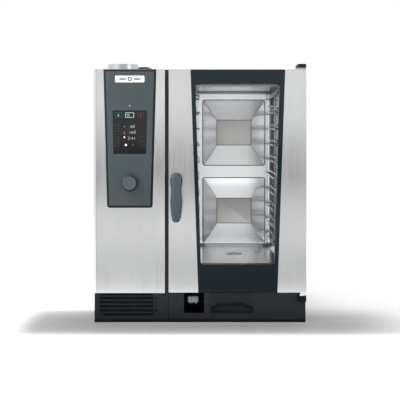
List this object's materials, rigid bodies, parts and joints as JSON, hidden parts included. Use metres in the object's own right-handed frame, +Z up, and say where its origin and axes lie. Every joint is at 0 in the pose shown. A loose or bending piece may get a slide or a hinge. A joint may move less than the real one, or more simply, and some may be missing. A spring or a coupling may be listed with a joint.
{
  "type": "combi steamer oven",
  "caption": "Table-top professional combi steamer: glazed side-hinged door with turning handle, control column with dial and display, tray racks, fan, base with drawer, shower and filter.",
  "frame": {"origin": "middle of the whole oven's footprint, handle included, on the surface it stands on", "axes": "+X to the right as the cook sees the door, +Y from the door to the back, +Z up"},
  "size_m": [0.85, 0.8421, 1.064],
  "materials": {
    "brushed_steel": "brushed",
    "plain_steel": "satin",
    "polished_wire": "polished",
    "base_paint": "satin",
    "base_plastic": "matte",
    "black_metal": "satin",
    "black_plastic": "matte",
    "panel_plastic": "satin",
    "dial_plastic": "satin",
    "handle_plastic": "satin",
    "pale_plastic": "gloss",
    "drain_plastic": "matte",
    "display_glass": "gloss",
    "door_glass": "gloss",
    "clear_glass": "gloss",
    "black_rubber": "matte",
    "circuit_board": "satin",
    "filter_fleece": "matte",
    "mineral_wool": "matte",
    "brass": "satin"
  },
  "bodies": {
    "base": {"plinth_rails": "black_metal", "base_tray": "base_paint", "base_front_left": "base_paint", "base_front_right": "base_paint", "cooling_fan_frame": "black_plastic", "drawer_runners": "black_plastic", "shower_niche": "black_plastic", "hose_reel_base": "plain_steel", "side_panel_left": "brushed_steel", "side_panel_right": "brushed_steel", "top_cover": "brushed_steel", "rear_panel": "plain_steel", "column_front": "brushed_steel", "column_seal": "black_rubber", "control_panel": "panel_plastic", "display_glass": "display_glass", "badge_plate": "pale_plastic", "status_lamp": "pale_plastic", "control_board": "circuit_board", "chassis_frame": "plain_steel", "door_gasket": "black_rubber", "latch_receiver": "plain_steel", "cabinet_liner": "brushed_steel", "cabinet_rear_wall": "brushed_steel", "drain_strainer": "plain_steel", "fan_baffle": "brushed_steel", "fan_motor": "black_metal", "ring_heater": "plain_steel", "steam_generator": "plain_steel", "insulation_slabs": "mineral_wool", "rack_brackets": "plain_steel", "hinge_bracket_top": "plain_steel", "hinge_cap_top": "black_plastic", "hinge_bracket_bottom": "plain_steel", "flue_collar": "brushed_steel", "vent_hat": "black_metal", "water_valves": "brass", "drain_pipe": "drain_plastic", "cable_gland": "black_plastic"},
    "door": {"door_trim_left": "brushed_steel", "door_trim_right": "brushed_steel", "door_glass_outer": "door_glass", "door_frame": "black_metal", "door_glass_inner": "clear_glass", "door_bottom_strip": "black_plastic", "hinge_bushes": "brass"},
    "handle": {"handle_lever": "handle_plastic", "latch_spindle": "plain_steel"},
    "plunger": {"dial_plunger": "black_plastic"},
    "dial": {"dial_knob": "dial_plastic"},
    "drawer": {"care_drawer": "base_plastic"},
    "filter": {"intake_grille": "base_plastic", "filter_mat": "filter_fleece"},
    "shower": {"shower_grip": "pale_plastic"},
    "trigger": {"shower_trigger": "black_plastic"},
    "reel": {"hose_reel_drum": "black_plastic"},
    "fan": {"fan_wheel": "plain_steel"},
    "cooler": {"cooling_fan_rotor": "black_plastic"},
    "left_rack": {"rack_left": "polished_wire"},
    "right_rack": {"rack_right": "polished_wire"}
  },
  "joints": [
    {"name": "door_swing", "type": "hinge", "parent": "base", "child": "door", "pos_m": [0.408, -0.332, 0.5], "axis": [0, 0, 1], "range_deg": [0, 180]},
    {"name": "handle_turn", "type": "hinge", "parent": "door", "child": "handle", "pos_m": [-0.094, -0.354, 0.573], "axis": [0, 1, 0], "range_deg": [-60, 60]},
    {"name": "dial_press", "type": "slide", "parent": "base", "child": "plunger", "axis": [0, 1, 0], "range_m": [0, 0.0018], "stiffness_N_per_m": 600},
    {"name": "dial_turn", "type": "hinge", "parent": "plunger", "child": "dial", "pos_m": [-0.2795, -0.36, 0.561], "axis": [0, 1, 0], "continuous": true},
    {"name": "care_drawer_slide", "type": "slide", "parent": "base", "child": "drawer", "axis": [0, -1, 0], "range_m": [0, 0.18]},
    {"name": "filter_slide", "type": "slide", "parent": "base", "child": "filter", "axis": [0, -1, 0], "range_m": [0, 0.06]},
    {"name": "shower_pull", "type": "slide", "parent": "base", "child": "shower", "axis": [0, -1, 0], "range_m": [0, 0.09]},
    {"name": "trigger_squeeze", "type": "hinge", "parent": "shower", "child": "trigger", "pos_m": [-0.028, -0.296, 0.073], "axis": [1, 0, 0], "range_deg": [0, 10], "stiffness_Nm_per_rad": 0.3, "springref_deg": -2.86},
    {"name": "reel_spin", "type": "hinge", "parent": "base", "child": "reel", "pos_m": [-0.13, -0.072, 0.06], "axis": [0, 0, 1], "range_deg": [0, 120]},
    {"name": "fan_spin", "type": "hinge", "parent": "base", "child": "fan", "pos_m": [-0.09, 0.031, 0.59], "axis": [1, 0, 0], "continuous": true},
    {"name": "cooling_fan_spin", "type": "hinge", "parent": "base", "child": "cooler", "pos_m": [-0.334, -0.283, 0.064], "axis": [0, 1, 0], "continuous": true},
    {"name": "rack_left_swing", "type": "hinge", "parent": "base", "child": "left_rack", "pos_m": [-0.024, 0.282, 0.6], "axis": [0, 0, 1], "range_deg": [0, 15]},
    {"name": "rack_right_swing", "type": "hinge", "parent": "base", "child": "right_rack", "pos_m": [0.324, 0.282, 0.6], "axis": [0, 0, -1], "range_deg": [0, 15]}
  ],
  "couplings": [
    {"joint": "reel_spin", "follows": "shower_pull", "rad_per_m": 22.2}
  ]
}
